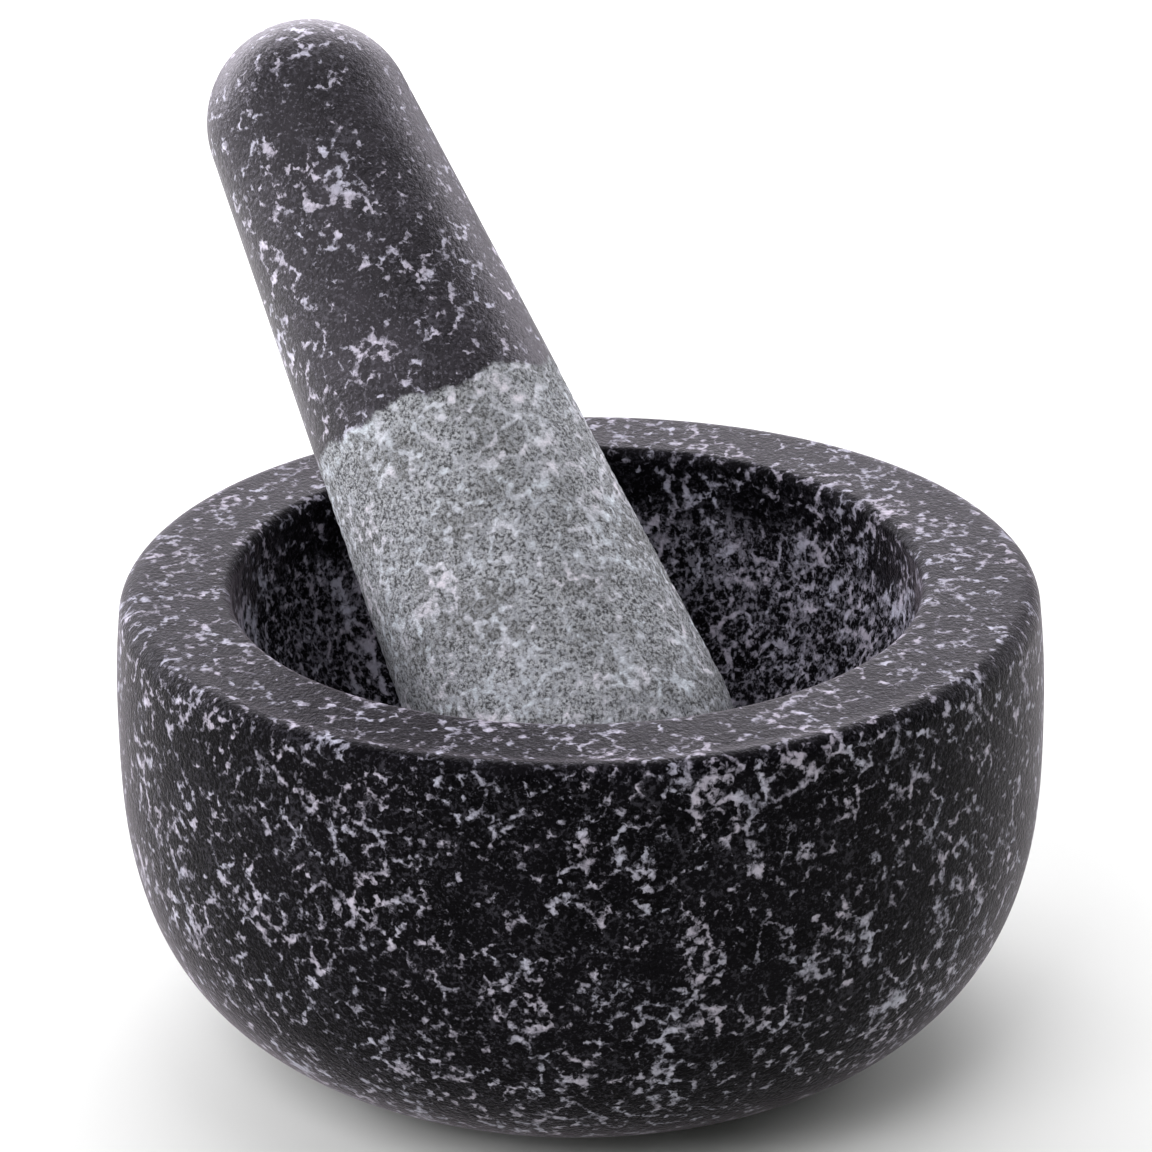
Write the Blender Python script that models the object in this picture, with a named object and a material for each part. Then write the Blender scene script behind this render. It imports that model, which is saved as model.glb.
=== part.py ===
"""Stone mortar and pestle, in metres, +Z up.

The origin is the centre of the mortar's flat underside. Both pieces are turned solids. The pestle
stands in the hollow as it is put down after use: its round head is at the middle of the floor and
its side leans on the inner lip of the rim.
"""

import math

import bmesh
import bpy
from mathutils import Matrix, Vector

# Mortar, outside.
RIM_DIAMETER = 0.140
MORTAR_HEIGHT = 0.072
UNDERSIDE_DIAMETER = 0.072
BELLY_HEIGHT = 0.053
RIM_DRAW_IN = 0.0008
SHOULDER_RADIUS = 0.0039
# The belly is a quarter of a superellipse. The powers are 2 on an ellipse, and a larger power
# is nearer to a square corner.
BELLY_POWER_OUT = 1.78
BELLY_POWER_DOWN = 3.03

# Mortar, inside.
RIM_WIDTH = 0.0185
FLOOR_THICKNESS = 0.0193
LIP_RADIUS = 0.002

# Pestle.
PESTLE_LENGTH = 0.1485
GRIP_DIAMETER = 0.0327
HEAD_DIAMETER = 0.0482

# How the pestle stands. The bearing is counted from +Y, the back, towards -X, the left.
LEAN_BEARING = math.radians(35)
CONTACT_GAP = 0.0003

# Facets of the turned shapes.
MORTAR_SIDES = 72
PESTLE_SIDES = 40
BELLY_STEPS = 14
WALL_STEPS = 3
HOLLOW_STEPS = 14
SMALL_ROUND_STEPS = 4
HEAD_STEPS = 9
GRIP_STEPS = 8
AXIS_MERGE = 0.000001
SHARP_ANGLE = math.radians(40)


def arc(centre, radii, start, end, steps):
    """Points (radius, height) from start to end, angles counted from +radius towards +height."""
    angles = [start + (end - start) * i / steps for i in range(steps + 1)]
    return [
        (centre[0] + radii[0] * math.cos(a), centre[1] + radii[1] * math.sin(a)) for a in angles
    ]


def belly_points(foot, widest):
    """The belly, from the edge of the flat underside up to the widest ring."""
    points = []
    for i in range(BELLY_STEPS + 1):
        turn = math.pi / 2 * i / BELLY_STEPS
        out = math.sin(turn) ** (2 / BELLY_POWER_OUT)
        down = max(math.cos(turn), 0) ** (2 / BELLY_POWER_DOWN)
        points.append((foot + (widest - foot) * out, BELLY_HEIGHT * (1 - down)))
    return points


def wall_points(widest, top):
    """The side above the widest ring, drawing in slightly on its way up to the shoulder."""
    points = []
    for i in range(1, WALL_STEPS + 1):
        share = i / WALL_STEPS
        height = BELLY_HEIGHT + (top - BELLY_HEIGHT) * share
        points.append((widest - RIM_DRAW_IN * share**2, height))
    return points


def mortar_outline():
    """Half of the mortar's section, from the middle of the underside to the middle of the floor."""
    widest = RIM_DIAMETER / 2
    shoulder = (widest - RIM_DRAW_IN - SHOULDER_RADIUS, MORTAR_HEIGHT - SHOULDER_RADIUS)
    lip = lip_centre()
    mouth = lip[0] - LIP_RADIUS
    depth = lip[1] - FLOOR_THICKNESS
    shoulder_radii = (SHOULDER_RADIUS, SHOULDER_RADIUS)
    lip_radii = (LIP_RADIUS, LIP_RADIUS)
    outline = [(0, 0)]
    outline += belly_points(UNDERSIDE_DIAMETER / 2, widest)
    outline += wall_points(widest, shoulder[1])
    outline += arc(shoulder, shoulder_radii, 0, math.pi / 2, SMALL_ROUND_STEPS)[1:]
    outline += arc(lip, lip_radii, math.pi / 2, math.pi, SMALL_ROUND_STEPS)
    outline += arc((0, lip[1]), (mouth, depth), 0, -math.pi / 2, HOLLOW_STEPS)[1:-1]
    outline.append((0, FLOOR_THICKNESS))
    return outline


def lip_centre():
    """Centre (radius, height) of the small round between the flat rim and the hollow."""
    return RIM_DIAMETER / 2 - RIM_WIDTH + LIP_RADIUS, MORTAR_HEIGHT - LIP_RADIUS


def pestle_centres():
    """Distance between the head's and the grip's centres, and the side's angle to the axis."""
    apart = PESTLE_LENGTH - HEAD_DIAMETER / 2 - GRIP_DIAMETER / 2
    return apart, math.asin((HEAD_DIAMETER - GRIP_DIAMETER) / 2 / apart)


def pestle_outline():
    """Half of the pestle's section, head down, with the head's centre at the origin."""
    apart, taper = pestle_centres()
    head = HEAD_DIAMETER / 2
    grip = GRIP_DIAMETER / 2
    outline = [(0, -head)]
    outline += arc((0, 0), (head, head), -math.pi / 2, taper, HEAD_STEPS)[1:]
    outline += arc((0, apart), (grip, grip), taper, math.pi / 2, GRIP_STEPS)[:-1]
    outline.append((0, apart + grip))
    return outline


def pestle_stance():
    """Matrix that stands the pestle's head on the floor and leans its side on the lip."""
    _, taper = pestle_centres()
    head = HEAD_DIAMETER / 2
    centre = Vector((0, 0, FLOOR_THICKNESS + CONTACT_GAP + head))
    lip = lip_centre()
    out, up = lip[0], lip[1] - centre.z
    reach = head + CONTACT_GAP + LIP_RADIUS
    side_slope = math.atan2(up, out) + math.asin(reach / math.hypot(out, up))
    tilt = math.pi / 2 - (side_slope - taper)
    return (
        Matrix.Translation(centre)
        @ Matrix.Rotation(LEAN_BEARING, 4, "Z")
        @ Matrix.Rotation(-tilt, 4, "X")
    )


def turned(name, outline, sides, material):
    """A closed solid of revolution about Z, from an outline that begins and ends on the axis."""
    shape = bmesh.new()
    corners = [shape.verts.new((radius, 0, height)) for radius, height in outline]
    edges = [shape.edges.new(pair) for pair in zip(corners, corners[1:])]
    bmesh.ops.spin(
        shape,
        geom=corners + edges,
        cent=(0, 0, 0),
        axis=(0, 0, 1),
        angle=2 * math.pi,
        steps=sides,
    )
    bmesh.ops.remove_doubles(shape, verts=shape.verts, dist=AXIS_MERGE)
    bmesh.ops.recalc_face_normals(shape, faces=shape.faces)
    mesh = bpy.data.meshes.new(name)
    shape.to_mesh(mesh)
    shape.free()
    mesh.shade_smooth()
    mesh.set_sharp_from_angle(angle=SHARP_ANGLE)
    mesh.materials.append(material)
    piece = bpy.data.objects.new(name, mesh)
    bpy.context.collection.objects.link(piece)
    return piece


def stone(name, colour, roughness):
    """A plain stone material in the piece's average colour."""
    material = bpy.data.materials.new(name)
    material.use_nodes = True
    surface = material.node_tree.nodes["Principled BSDF"]
    surface.inputs["Base Color"].default_value = (*colour, 1)
    surface.inputs["Roughness"].default_value = roughness
    surface.inputs["Metallic"].default_value = 0
    return material


def main():
    for old in list(bpy.data.objects):
        bpy.data.objects.remove(old)
    dark_granite = stone("dark_granite", (0.045, 0.044, 0.049), 0.45)
    pecked_granite = stone("pecked_granite", (0.12, 0.12, 0.125), 0.6)
    turned("mortar", mortar_outline(), MORTAR_SIDES, dark_granite)
    pestle = turned("pestle", pestle_outline(), PESTLE_SIDES, pecked_granite)
    pestle.matrix_world = pestle_stance()


main()
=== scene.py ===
"""Looks of the stone mortar and pestle: fine turned shapes, granite finishes, floor, light, camera.

Units are metres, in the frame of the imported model. One Geometry Nodes tree turns both pieces from
their outlines, and one set of shader functions grows the granite in both, because both are cut
from the same stone.
"""
import math

import bpy
import numpy as np
from mathutils import Matrix, Vector


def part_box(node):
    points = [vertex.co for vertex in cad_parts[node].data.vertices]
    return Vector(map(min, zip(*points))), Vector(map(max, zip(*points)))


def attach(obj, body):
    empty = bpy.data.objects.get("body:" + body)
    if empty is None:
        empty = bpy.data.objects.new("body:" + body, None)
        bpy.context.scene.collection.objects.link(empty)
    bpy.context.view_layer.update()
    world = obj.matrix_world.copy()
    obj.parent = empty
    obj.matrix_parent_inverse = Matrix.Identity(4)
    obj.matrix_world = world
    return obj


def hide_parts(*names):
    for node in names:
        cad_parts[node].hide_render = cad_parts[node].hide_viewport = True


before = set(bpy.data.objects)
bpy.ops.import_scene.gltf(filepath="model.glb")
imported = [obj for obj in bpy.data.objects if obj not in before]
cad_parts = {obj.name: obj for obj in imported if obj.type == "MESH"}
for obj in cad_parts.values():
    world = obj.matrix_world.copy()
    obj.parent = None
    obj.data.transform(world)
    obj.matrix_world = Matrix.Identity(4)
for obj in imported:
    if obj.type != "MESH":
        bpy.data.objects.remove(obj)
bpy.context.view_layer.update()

MM = 0.001

# ------------------------------------------------------------------ sizes of the real thing

# Mortar.
MORTAR_LOW, MORTAR_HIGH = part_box("mortar")
RIM_RADIUS = (MORTAR_HIGH.x - MORTAR_LOW.x) / 2
MORTAR_HEIGHT = MORTAR_HIGH.z - MORTAR_LOW.z
UNDERSIDE_RADIUS = 36 * MM
BELLY_HEIGHT = 53 * MM
BELLY_POWER_OUT = 1.78
BELLY_POWER_DOWN = 3.03
RIM_DRAW_IN = 0.8 * MM
SHOULDER_RADIUS = 3.9 * MM
RIM_WIDTH = 18.5 * MM
LIP_RADIUS = 2 * MM
FLOOR_THICKNESS = 19.3 * MM
MOUTH_SHIFT = Vector((-0.5, 0, 0)) * MM

# Pestle.
HEAD_RADIUS = 24.1 * MM
GRIP_RADIUS = 16.35 * MM
HONED_LENGTH = 68.7 * MM

# Along the mortar's outline, counted from the middle of the lip's round: over 0 in the hollow, under
# 0 on the rim. The shoulder's crest is left proud at the front, and the shift of the mouth fades
# out both ways.
CREST_PLACE = -16.2 * MM
CREST_HALF_WIDTH = 3.3 * MM
RIM_FADE = 10 * MM
HOLLOW_FADE = (10 * MM, 60 * MM)

# Facets of the turned shapes, around them and along their outlines.
MORTAR_SIDES = 440
PESTLE_SIDES = 300
UNDERSIDE_STEPS = 12
BELLY_STEPS = 70
WALL_STEPS = 15
SHOULDER_STEPS = 14
RIM_STEPS = 12
LIP_STEPS = 8
HOLLOW_STEPS = 88
HEAD_STEPS = 70
SIDE_STEPS = 175
GRIP_STEPS = 50
MERGE_DISTANCE = 0.001 * MM

# Granite, and how the pecking starts.
COARSE_FLECK = 1.5 * MM
FINE_FLECK = 0.8 * MM
SPECK = 0.5 * MM
LUSTRE_PATCH = 3.5 * MM
TINT_PATCH = 7 * MM
CLOUD = 9 * MM
EDGE_WANDER = 8 * MM
PECK_FADE = 1.5 * MM

# What the pale mineral is made of, in multiples of its lumps' size, and what each part adds to it.
RAGGED_SIZE = 0.6
RAGGED_REACH = 0.8
DARK_GRAIN = 2.7
PATCH = 6
CHAIN_WIDTH = 0.16
CHAIN_MEAN = 0.2
CHAIN_WEIGHT = 0.13
PATCH_WEIGHT = 0.36

# Surroundings.
FLOOR_RADIUS = 0.62
FLOOR_SIDES = 120
FLOOR_GAP = 0.1 * MM
# The lamps are a trace violet, for the honed stone's cool cast, and the floor is a trace green, so
# that it looks neutral under them.
LAMP_COLOUR = (1.0, 0.965, 1.06)
FLOOR_COLOUR = (0.87, 0.9, 0.82)
MOUTH_CENTRE = (0, 0, MORTAR_HEIGHT)


# ------------------------------------------------------------------ outlines, (radius, height)

def arc(centre, radii, start, end, steps):
    """Points along part of an ellipse, from one angle to the other."""
    turns = np.linspace(start, end, steps + 1)
    return [(centre[0] + radii[0] * math.cos(t), centre[1] + radii[1] * math.sin(t)) for t in turns]


def straight(start, end, steps):
    """Points along a straight line, without its first point."""
    shares = [(i + 1) / steps for i in range(steps)]
    return [tuple(a + (b - a) * s for a, b in zip(start, end)) for s in shares]


def mortar_outline():
    """From the middle of the underside, up the outside, over the rim and down to the middle of the
    hollow's floor, and which of these points is the middle of the lip's round."""
    lip = (RIM_RADIUS - RIM_WIDTH + LIP_RADIUS, MORTAR_HEIGHT - LIP_RADIUS)
    shoulder = (RIM_RADIUS - RIM_DRAW_IN - SHOULDER_RADIUS, MORTAR_HEIGHT - SHOULDER_RADIUS)
    outline = [(0.0, 0.0)] + straight((0, 0), (UNDERSIDE_RADIUS, 0), UNDERSIDE_STEPS)
    for turn in np.linspace(0, math.pi / 2, BELLY_STEPS + 1)[1:]:
        out = math.sin(turn) ** (2 / BELLY_POWER_OUT)
        down = max(math.cos(turn), 0) ** (2 / BELLY_POWER_DOWN)
        radius = UNDERSIDE_RADIUS + (RIM_RADIUS - UNDERSIDE_RADIUS) * out
        outline.append((radius, BELLY_HEIGHT * (1 - down)))
    for share in np.linspace(0, 1, WALL_STEPS + 1)[1:]:
        height = BELLY_HEIGHT + (shoulder[1] - BELLY_HEIGHT) * share
        outline.append((RIM_RADIUS - RIM_DRAW_IN * share**2, height))
    outline += arc(shoulder, (SHOULDER_RADIUS,) * 2, 0, math.pi / 2, SHOULDER_STEPS)[1:]
    outline += straight(outline[-1], (lip[0], MORTAR_HEIGHT), RIM_STEPS)
    outline += arc(lip, (LIP_RADIUS,) * 2, math.pi / 2, math.pi, LIP_STEPS)[1:]
    mouth_row = len(outline) - LIP_STEPS // 2
    hollow = (lip[0] - LIP_RADIUS, lip[1] - FLOOR_THICKNESS)
    outline += arc((0, lip[1]), hollow, 0, -math.pi / 2, HOLLOW_STEPS)[1:]
    outline[-1] = (0.0, FLOOR_THICKNESS)
    return outline, mouth_row


def pestle_outline(length):
    """From the head's bottom, at height 0, to the grip's top, and which of these points is where
    the honed finish ends."""
    apart = length - HEAD_RADIUS - GRIP_RADIUS
    taper = math.asin((HEAD_RADIUS - GRIP_RADIUS) / apart)
    outline = arc((0, HEAD_RADIUS), (HEAD_RADIUS,) * 2, -math.pi / 2, taper, HEAD_STEPS)
    grip = arc((0, HEAD_RADIUS + apart), (GRIP_RADIUS,) * 2, taper, math.pi / 2, GRIP_STEPS)
    outline += straight(outline[-1], grip[0], SIDE_STEPS) + grip[1:]
    outline[0], outline[-1] = (0.0, 0.0), (0.0, length)
    edge_row = next(i for i, point in enumerate(outline) if point[1] > length - HONED_LENGTH)
    return outline, edge_row


def lengths_from(outline, row):
    """How far along the outline each point is from the given row."""
    steps = np.hypot(*np.diff(np.array(outline), axis=0).T)
    along = np.concatenate([[0], np.cumsum(steps)])
    return along - along[row]


def ends_of(node):
    """The two points of a round-ended rod that are furthest apart, the thicker end first."""
    points = np.array([v.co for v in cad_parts[node].data.vertices])
    middle = points.mean(axis=0)
    one = points[np.argmax(np.linalg.norm(points - middle, axis=1))]
    other = points[np.argmax(np.linalg.norm(points - one, axis=1))]
    return sorted((Vector(one), Vector(other)), key=lambda end: end.z)


# ------------------------------------------------------------------ nodes as Python expressions

class Value:
    """A socket that takes part in arithmetic. Each operator adds a Math node."""

    def __init__(self, tree, socket):
        self.tree, self.socket = tree, socket

    def math(self, operation, *others):
        inputs = dict(enumerate((self, *others)))
        return self.tree.node("ShaderNodeMath", {"operation": operation}, inputs)

    def __add__(self, other):
        return self.math("ADD", other)

    def __sub__(self, other):
        return self.math("SUBTRACT", other)

    def __mul__(self, other):
        return self.math("MULTIPLY", other)

    def __truediv__(self, other):
        return self.math("DIVIDE", other)

    def __rsub__(self, other):
        return self.tree.node("ShaderNodeMath", {"operation": "SUBTRACT"}, {0: other, 1: self})

    def __rtruediv__(self, other):
        return self.tree.node("ShaderNodeMath", {"operation": "DIVIDE"}, {0: other, 1: self})

    __radd__ = __add__
    __rmul__ = __mul__

    def most(self, other):
        return self.math("MAXIMUM", other)

    def rise(self, start, end):
        """0 before start, 1 after end, smooth between. start may be the larger one."""
        settings = {"interpolation_type": "SMOOTHSTEP"}
        inputs = {"Value": self, "From Min": start, "From Max": end}
        return self.tree.node("ShaderNodeMapRange", settings, inputs)

    def output(self, name):
        """Another output of the node that this value comes from."""
        return Value(self.tree, self.socket.node.outputs[name])


class Tree:
    """A shader or Geometry Nodes tree."""

    def __init__(self, tree):
        self.tree = tree

    def node(self, kind, settings=None, inputs=None, output=0):
        made = self.tree.nodes.new(kind)
        for name, value in (settings or {}).items():
            setattr(made, name, value)
        for key, value in (inputs or {}).items():
            if isinstance(value, Value):
                self.tree.links.new(value.socket, made.inputs[key])
            else:
                made.inputs[key].default_value = value
        return Value(self, made.outputs[output])

    def vector(self, operation, first, second):
        return self.node("ShaderNodeVectorMath", {"operation": operation}, {0: first, 1: second})

    def scaled(self, vector, factor):
        settings = {"operation": "SCALE"}
        return self.node("ShaderNodeVectorMath", settings, {"Vector": vector, "Scale": factor})

    def noise(self, place, size, detail=2.0, roughness=0.5, seed=0.0, output=0):
        inputs = {"Vector": place, "W": seed, "Detail": detail, "Roughness": roughness}
        inputs["Scale"] = 1 / size
        return self.node("ShaderNodeTexNoise", {"noise_dimensions": "4D"}, inputs, output)

    def from_walls(self, place, size):
        """How far a place is from the walls between cells of the given size."""
        inputs = {"Vector": place, "Scale": 1 / size}
        settings = {"feature": "DISTANCE_TO_EDGE"}
        return self.node("ShaderNodeTexVoronoi", settings, inputs, "Distance")

    def mix(self, share, first, second):
        settings = {"data_type": "RGBA"}
        return self.node("ShaderNodeMix", settings, {0: share, 6: first, 7: second}, 2)


# ------------------------------------------------------------------ turned shapes

TURNING_SIZES = {
    "Sides": "NodeSocketInt",
    "Rows": "NodeSocketInt",
    "Waviness": "NodeSocketFloat",
    "Wave size": "NodeSocketFloat",
    "Peck depth": "NodeSocketFloat",
    "Peck size": "NodeSocketFloat",
    "Mouth shift": "NodeSocketVector",
    "Front arris": "NodeSocketFloat",
    "Seed": "NodeSocketFloat",
    "Stone": "NodeSocketMaterial",
}


def turning_tree():
    """Turns an outline, a line of points in the XZ plane, into a closed solid about Z, hand ground
    in slow waves and pecked where the outline's past_edge is above 0. A mortar's front arris can
    be left proud and its mouth shifted."""
    group = bpy.data.node_groups.new("turned stone", "GeometryNodeTree")
    group.interface.new_socket("Outline", in_out="INPUT", socket_type="NodeSocketGeometry")
    for name, kind in TURNING_SIZES.items():
        group.interface.new_socket(name, in_out="INPUT", socket_type=kind)
    group.interface.new_socket("Solid", in_out="OUTPUT", socket_type="NodeSocketGeometry")

    t = Tree(group)
    outline = t.node("NodeGroupInput", output="Outline")
    given = {name: outline.output(name) for name in TURNING_SIZES}
    sheet = t.node("GeometryNodeMeshGrid", {}, {
        "Size X": 2 * math.pi,
        "Size Y": 1.0,
        "Vertices X": given["Sides"] + 1,
        "Vertices Y": given["Rows"],
    })
    place = t.node("GeometryNodeInputPosition")
    angle = t.node("ShaderNodeSeparateXYZ", {}, {0: place}, "X")
    row = ((angle.output("Y") + 0.5) * (given["Rows"] - 1)).math("ROUND")
    of_outline = {"Geometry": outline, "Index": row}
    point = t.node(
        "GeometryNodeSampleIndex", {"data_type": "FLOAT_VECTOR"}, {**of_outline, "Value": place}
    )
    past_edge = t.node(
        "GeometryNodeInputNamedAttribute", {"data_type": "FLOAT"}, {"Name": "past_edge"}
    )
    edge_here = t.node(
        "GeometryNodeSampleIndex", {"data_type": "FLOAT"}, {**of_outline, "Value": past_edge}
    )
    marked = t.node(
        "GeometryNodeStoreNamedAttribute",
        {"data_type": "FLOAT", "domain": "POINT"},
        {"Geometry": sheet, "Name": "past_edge", "Value": edge_here},
    )
    around = t.node(
        "ShaderNodeVectorRotate", {"rotation_type": "Z_AXIS"}, {"Vector": point, "Angle": angle}
    )
    solid = t.node("GeometryNodeSetPosition", {}, {"Geometry": marked, "Position": around})
    seams = {"Geometry": solid, "Distance": MERGE_DISTANCE}
    solid = t.node("GeometryNodeMergeByDistance", {}, seams)

    normal = t.node("GeometryNodeInputNormal")
    backward = t.node("ShaderNodeSeparateXYZ", {}, {0: place}, "Y")
    to_front = (backward * (-1 / RIM_RADIUS)).rise(0.1, 0.9)
    crest = past_edge.rise(CREST_PLACE - CREST_HALF_WIDTH, CREST_PLACE)
    crest = crest * past_edge.rise(CREST_PLACE + CREST_HALF_WIDTH, CREST_PLACE)
    waves = t.noise(place, given["Wave size"], detail=1.0, seed=given["Seed"])
    pits = t.noise(place, given["Peck size"], detail=3.0, seed=given["Seed"]).rise(0.3, 0.7)
    pecked = past_edge.rise(0.0, PECK_FADE)
    sunk = waves * given["Waviness"] + pits * pecked * given["Peck depth"]
    sunk = sunk - crest * to_front * given["Front arris"]
    off_centre = past_edge.rise(-RIM_FADE, 0.0) * past_edge.rise(HOLLOW_FADE[1], HOLLOW_FADE[0])
    moved = t.vector(
        "ADD", t.scaled(normal, 0 - sunk), t.scaled(given["Mouth shift"], off_centre)
    )
    solid = t.node("GeometryNodeSetPosition", {}, {"Geometry": solid, "Offset": moved})
    solid = t.node("GeometryNodeSetShadeSmooth", {}, {0: solid})
    solid = t.node("GeometryNodeRealizeInstances", {}, {0: solid})
    solid = t.node("GeometryNodeSetMaterial", {}, {"Geometry": solid, "Material": given["Stone"]})
    end = group.nodes.new("NodeGroupOutput")
    group.links.new(solid.socket, end.inputs["Solid"])
    return group


def turned(name, group, outline, past_edge, sizes, stance):
    """A plain mesh object, turned from the outline by the tree, and stood in its place."""
    line = bpy.data.meshes.new(name + "_outline")
    pairs = [(i, i + 1) for i in range(len(outline) - 1)]
    line.from_pydata([(radius, 0, height) for radius, height in outline], pairs, [])
    marks = line.attributes.new("past_edge", "FLOAT", "POINT")
    marks.data.foreach_set("value", np.array(past_edge, np.float32))
    raw = bpy.data.objects.new(name + "_outline", line)
    bpy.context.scene.collection.objects.link(raw)
    turning = raw.modifiers.new("turning", "NODES")
    turning.node_group = group
    sockets = {item.name: item.identifier for item in group.interface.items_tree}
    for size, value in {**sizes, "Rows": len(outline)}.items():
        turning[sockets[size]] = value
    shape = raw.evaluated_get(bpy.context.evaluated_depsgraph_get())
    mesh = bpy.data.meshes.new_from_object(shape)
    raw.modifiers.remove(turning)
    bpy.data.objects.remove(raw)
    mesh.name = name
    mesh.transform(stance)
    piece = bpy.data.objects.new(name, mesh)
    bpy.context.scene.collection.objects.link(piece)
    return piece


# ------------------------------------------------------------------ granite

def bent(t, place, size, reach, seed):
    """The place moved about by noise, so that what is drawn in it has ragged edges."""
    push = t.noise(place, size, detail=1.0, seed=seed, output="Color")
    centred = t.vector("SUBTRACT", push, (0.5, 0.5, 0.5))
    return t.vector("ADD", place, t.scaled(centred, reach))


def crystals(t, place, size, seed):
    """How much pale mineral there is, about 0.5 on average: lumps of the given size, drawn out in
    chains and rings round dark grains, thicker in some patches than in others."""
    ragged = bent(t, place, size * RAGGED_SIZE, size * RAGGED_REACH, seed)
    lumps = t.noise(ragged, size, detail=3.0, roughness=0.6, seed=seed + 1)
    chains = t.from_walls(ragged, size * DARK_GRAIN).rise(CHAIN_WIDTH, 0.0)
    patches = t.noise(place, size * PATCH, detail=1.0, seed=seed + 2)
    return lumps + (chains - CHAIN_MEAN) * CHAIN_WEIGHT + (patches - 0.5) * PATCH_WEIGHT


def granite(name, honed, pecked):
    """Granite with a honed finish where past_edge is under 0 and a pecked one above."""
    stone = bpy.data.materials.new(name)
    stone.use_nodes = True
    stone.node_tree.nodes.clear()
    t = Tree(stone.node_tree)
    place = t.node("ShaderNodeTexCoord", output="Object")
    past_edge = t.node("ShaderNodeAttribute", {"attribute_name": "past_edge"}, output="Fac")
    ragged = t.noise(place, EDGE_WANDER, detail=4.0, roughness=0.6, seed=40.0) - 0.5
    edge = past_edge + ragged * pecked["ragged"] - pecked["starts"]
    rough_side = edge.rise(-pecked["fade"], pecked["fade"])

    clouds = t.noise(place, CLOUD, detail=2.0, seed=12.0)
    tint = t.noise(place, TINT_PATCH, detail=1.0, seed=13.0).rise(0.35, 0.65)
    coarse = crystals(t, place, COARSE_FLECK, seed=1.0)
    fine = crystals(t, place, FINE_FLECK, seed=5.0)
    specks = t.noise(place, SPECK, detail=1.0, seed=14.0).rise(0.56, 0.72)
    lustre = t.noise(place, LUSTRE_PATCH, detail=1.0, seed=15.0).rise(0.3, 0.7)

    surfaces = []
    for finish in (honed, pecked):
        grain = t.noise(place, finish["grain size"], detail=2.0, roughness=0.7, seed=11.0)
        low, high = finish["coarse"]
        amount = coarse.rise(low, high)
        small = fine.rise(*finish["fine"])
        # A fleck is brightest at its heart, in a lustrous patch, or where a small one lies in it.
        bright = coarse.rise(high - 0.06, high + 0.1) * 0.5 + lustre * 0.4 + small * 0.3
        fleck = t.mix(tint, finish["cool fleck"], finish["warm fleck"])
        fleck = t.mix(bright, finish["dim fleck"], fleck)
        ground = t.mix(grain.rise(*finish["grain"]), finish["ground"], finish["mottle"])
        ground = t.mix(clouds.rise(0.4, 0.7) * finish["cloud share"], ground, finish["cloud"])
        dots = (small * finish["fine share"]).most(specks * finish["speck share"])
        ground = t.mix(dots, ground, finish["dim fleck"])
        roughness = (grain - 0.5) * 0.2 + (clouds - 0.5) * 0.1 + finish["roughness"]
        relief = {"Strength": 1.0, "Distance": finish["relief"], "Height": grain}
        surfaces.append(t.node("ShaderNodeBsdfPrincipled", {}, {
            "Base Color": t.mix(amount, ground, fleck),
            "Roughness": roughness,
            "Specular IOR Level": finish["gloss"],
            "Specular Tint": finish["tint"],
            "Sheen Weight": finish["dust"],
            "Sheen Roughness": finish["dust spread"],
            "Sheen Tint": finish["dust tint"],
            "Normal": t.node("ShaderNodeBump", {}, relief),
        }))
    surface = t.node("ShaderNodeMixShader", {}, {0: rough_side, 1: surfaces[0], 2: surfaces[1]})
    end = stone.node_tree.nodes.new("ShaderNodeOutputMaterial")
    stone.node_tree.links.new(surface.socket, end.inputs["Surface"])
    return stone


# ------------------------------------------------------------------ surroundings

def matt_paint(name, colour):
    """A plain matt paint."""
    paint = bpy.data.materials.new(name)
    paint.use_nodes = True
    surface = paint.node_tree.nodes["Principled BSDF"]
    surface.inputs["Base Color"].default_value = (*colour, 1)
    surface.inputs["Roughness"].default_value = 0.8
    surface.inputs["Specular IOR Level"].default_value = 0.2
    return paint


def floor(radius):
    """A plain pale round floor under the mortar."""
    turns = np.linspace(0, 2 * math.pi, FLOOR_SIDES, endpoint=False)
    mesh = bpy.data.meshes.new("floor")
    corners = [(radius * math.cos(t), radius * math.sin(t), 0) for t in turns]
    mesh.from_pydata(corners, [], [range(FLOOR_SIDES)])
    mesh.materials.append(matt_paint("pale_floor", FLOOR_COLOUR))
    sheet = bpy.data.objects.new("floor", mesh)
    sheet.location.z = MORTAR_LOW.z - FLOOR_GAP
    bpy.context.scene.collection.objects.link(sheet)


def softbox(name, place, width, height, power):
    """A large soft lamp that faces the mortar's mouth."""
    lamp = bpy.data.lights.new(name, "AREA")
    lamp.shape = "RECTANGLE"
    lamp.size, lamp.size_y = width, height
    lamp.energy = power
    lamp.color = LAMP_COLOUR
    holder = bpy.data.objects.new(name, lamp)
    holder.location = place
    to_mouth = Vector(MOUTH_CENTRE) - Vector(place)
    holder.rotation_euler = to_mouth.to_track_quat("-Z", "Y").to_euler()
    bpy.context.scene.collection.objects.link(holder)


def surroundings(fill, seen):
    """Even dim light from all round, which the camera sees as a pale room."""
    world = bpy.data.worlds.new("pale room")
    bpy.context.scene.world = world
    world.use_nodes = True
    world.node_tree.nodes.clear()
    t = Tree(world.node_tree)
    direct = t.node("ShaderNodeLightPath", output="Is Camera Ray")
    strength = direct * (seen - fill) + fill
    room = t.node("ShaderNodeBackground", {}, {"Color": (1, 1, 1, 1), "Strength": strength})
    end = world.node_tree.nodes.new("ShaderNodeOutputWorld")
    world.node_tree.links.new(room.socket, end.inputs["Surface"])


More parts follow.
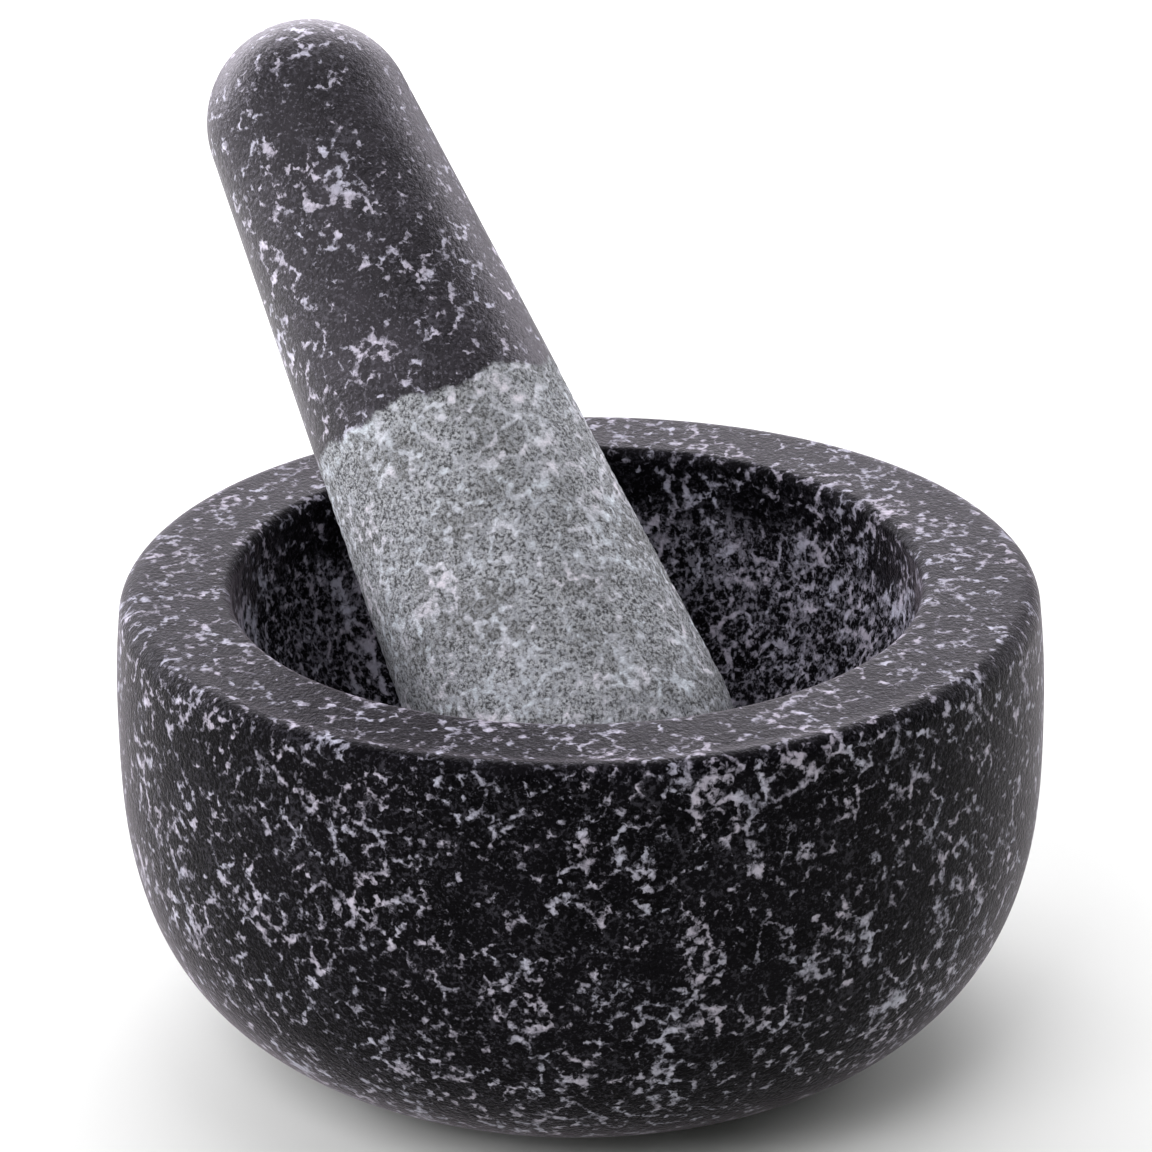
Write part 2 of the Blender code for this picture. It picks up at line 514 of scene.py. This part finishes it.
def camera(aim, elevation, distance, lens, roll):
    """A camera at the front, looking down at the aim."""
    back = Vector((0, -math.cos(elevation), math.sin(elevation)))
    eye = bpy.data.cameras.new("camera")
    eye.lens = lens
    holder = bpy.data.objects.new("camera", eye)
    turn = (-back).to_track_quat("-Z", "Y").to_matrix().to_4x4()
    holder.matrix_world = (
        Matrix.Translation(aim + back * distance) @ turn @ Matrix.Rotation(roll, 4, "Z")
    )
    bpy.context.scene.collection.objects.link(holder)
    bpy.context.scene.camera = holder


# ------------------------------------------------------------------ the scene

camera(
    aim=Vector((-0.52, 0, 72.05)) * MM,
    elevation=math.radians(23.0),
    distance=0.8,
    lens=166.7,
    roll=-0.0109,
)
floor(FLOOR_RADIUS)
surroundings(fill=0.1, seen=1.0)
softbox("back_lamp", (-0.1, 1.5, 0.7), width=1.7, height=1.2, power=30)
softbox("back_left_lamp", (-1.05, 0.95, 0.4), width=0.9, height=0.8, power=14)
softbox("left_lamp", (-1.35, -0.15, 0.45), width=2.0, height=0.9, power=14)
softbox("right_lamp", (1.2, 0.9, 0.5), width=1.0, height=1.0, power=13)
softbox("front_left_lamp", (-0.6, -0.9, 1.2), width=0.9, height=0.9, power=10)
softbox("top_lamp", (0.2, 0.1, 1.5), width=1.2, height=1.0, power=7)

# Ground, mottle and cloud are the rock's colours between its flecks. A pair is how strong a pattern
# has to be before it starts to show, and before it shows in full.
DARK_HONED = {
    "ground": (0.0004, 0.0004, 0.0006, 1),
    "mottle": (0.004, 0.0037, 0.0048, 1),
    "grain size": 0.7 * MM,
    "grain": (0.3, 0.8),
    "cloud": (0.006, 0.0055, 0.007, 1),
    "cloud share": 0.4,
    "dim fleck": (0.13, 0.126, 0.147, 1),
    "cool fleck": (0.56, 0.57, 0.65, 1),
    "warm fleck": (0.6, 0.56, 0.63, 1),
    "coarse": (0.565, 0.69),
    "fine": (0.55, 0.76),
    "fine share": 0.25,
    "speck share": 0.2,
    "roughness": 0.42,
    "relief": 0.25 * MM,
    "gloss": 0.035,
    "tint": (1.0, 0.96, 1.0, 1),
    "dust": 0.3,
    "dust spread": 0.26,
    "dust tint": (1.0, 0.9, 0.97, 1),
}
HOLLOW_GROUND = {
    **DARK_HONED,
    # The honed finish reaches about 9 mm down into the hollow, so the wall just under the lip is
    # darker, with fewer flecks: partly a real change of finish, partly painted shade under the lip.
    "starts": 9 * MM,
    "ragged": 14 * MM,
    "fade": 3 * MM,
    "coarse": (0.525, 0.67),
    "fine": (0.49, 0.69),
    "fine share": 0.8,
    "dim fleck": (0.25, 0.245, 0.28, 1),
    "speck share": 0.3,
    "roughness": 0.7,
    "relief": 0.3 * MM,
    "dust": 0.0,
}
PESTLE_HONED = {
    **DARK_HONED,
    "gloss": 0.3,
    "dust": 0.14,
    "dust spread": 0.5,
    "ground": (0.0015, 0.0014, 0.0018, 1),
    "mottle": (0.01, 0.0094, 0.0115, 1),
    "cloud": (0.028, 0.0255, 0.03, 1),
    "cloud share": 0.75,
    "dim fleck": (0.22, 0.215, 0.245, 1),
    "cool fleck": (0.78, 0.79, 0.9, 1),
    "warm fleck": (0.82, 0.77, 0.86, 1),
    "coarse": (0.605, 0.71),
    "speck share": 0.45,
}
PESTLE_PECKED = {
    "starts": 0,
    "ragged": 9 * MM,
    "fade": 0.6 * MM,
    "ground": (0.066, 0.068, 0.067, 1),
    "mottle": (0.63, 0.66, 0.655, 1),
    "grain size": 0.5 * MM,
    "grain": (0.35, 0.67),
    "cloud": (0.135, 0.138, 0.125, 1),
    "cloud share": 0.55,
    "dim fleck": (0.5, 0.53, 0.545, 1),
    "cool fleck": (0.86, 0.94, 0.96, 1),
    "warm fleck": (0.95, 0.92, 0.95, 1),
    "coarse": (0.52, 0.68),
    "fine": (0.52, 0.7),
    "fine share": 0.6,
    "speck share": 0.3,
    "roughness": 0.8,
    "relief": 0.35 * MM,
    "gloss": 0.05,
    "tint": (1.0, 1.0, 1.0, 1),
    "dust": 0.0,
    "dust spread": 0.3,
    "dust tint": (1.0, 1.0, 1.0, 1),
}

mortar_stone = granite("mortar_granite", DARK_HONED, HOLLOW_GROUND)
pestle_stone = granite("pestle_granite", PESTLE_HONED, PESTLE_PECKED)
turning = turning_tree()

outline, mouth_row = mortar_outline()
mortar = turned("stone_mortar", turning, outline, lengths_from(outline, mouth_row), {
    "Sides": MORTAR_SIDES,
    "Waviness": 0.25 * MM,
    "Wave size": 40 * MM,
    "Peck depth": 0.25 * MM,
    "Peck size": 2.4 * MM,
    "Mouth shift": MOUTH_SHIFT,
    "Front arris": 0.75 * MM,
    "Seed": 3.0,
    "Stone": mortar_stone,
}, Matrix.Translation((0, 0, MORTAR_LOW.z)))

bottom, top = ends_of("pestle")
outline, edge_row = pestle_outline((top - bottom).length)
stance = Matrix.Translation(bottom) @ (top - bottom).to_track_quat("Z", "Y").to_matrix().to_4x4()
pestle = turned("stone_pestle", turning, outline, -lengths_from(outline, edge_row), {
    "Sides": PESTLE_SIDES,
    "Waviness": 0.2 * MM,
    "Wave size": 30 * MM,
    "Peck depth": 0.3 * MM,
    "Peck size": 1.6 * MM,
    "Seed": 8.0,
    "Stone": pestle_stone,
}, stance)

for piece, body, slot in ((mortar, "mortar", "honed_granite"), (pestle, "pestle", "pestle_granite")):
    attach(piece, body)
    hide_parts(body)

bpy.context.scene.view_settings.view_transform = "Standard"
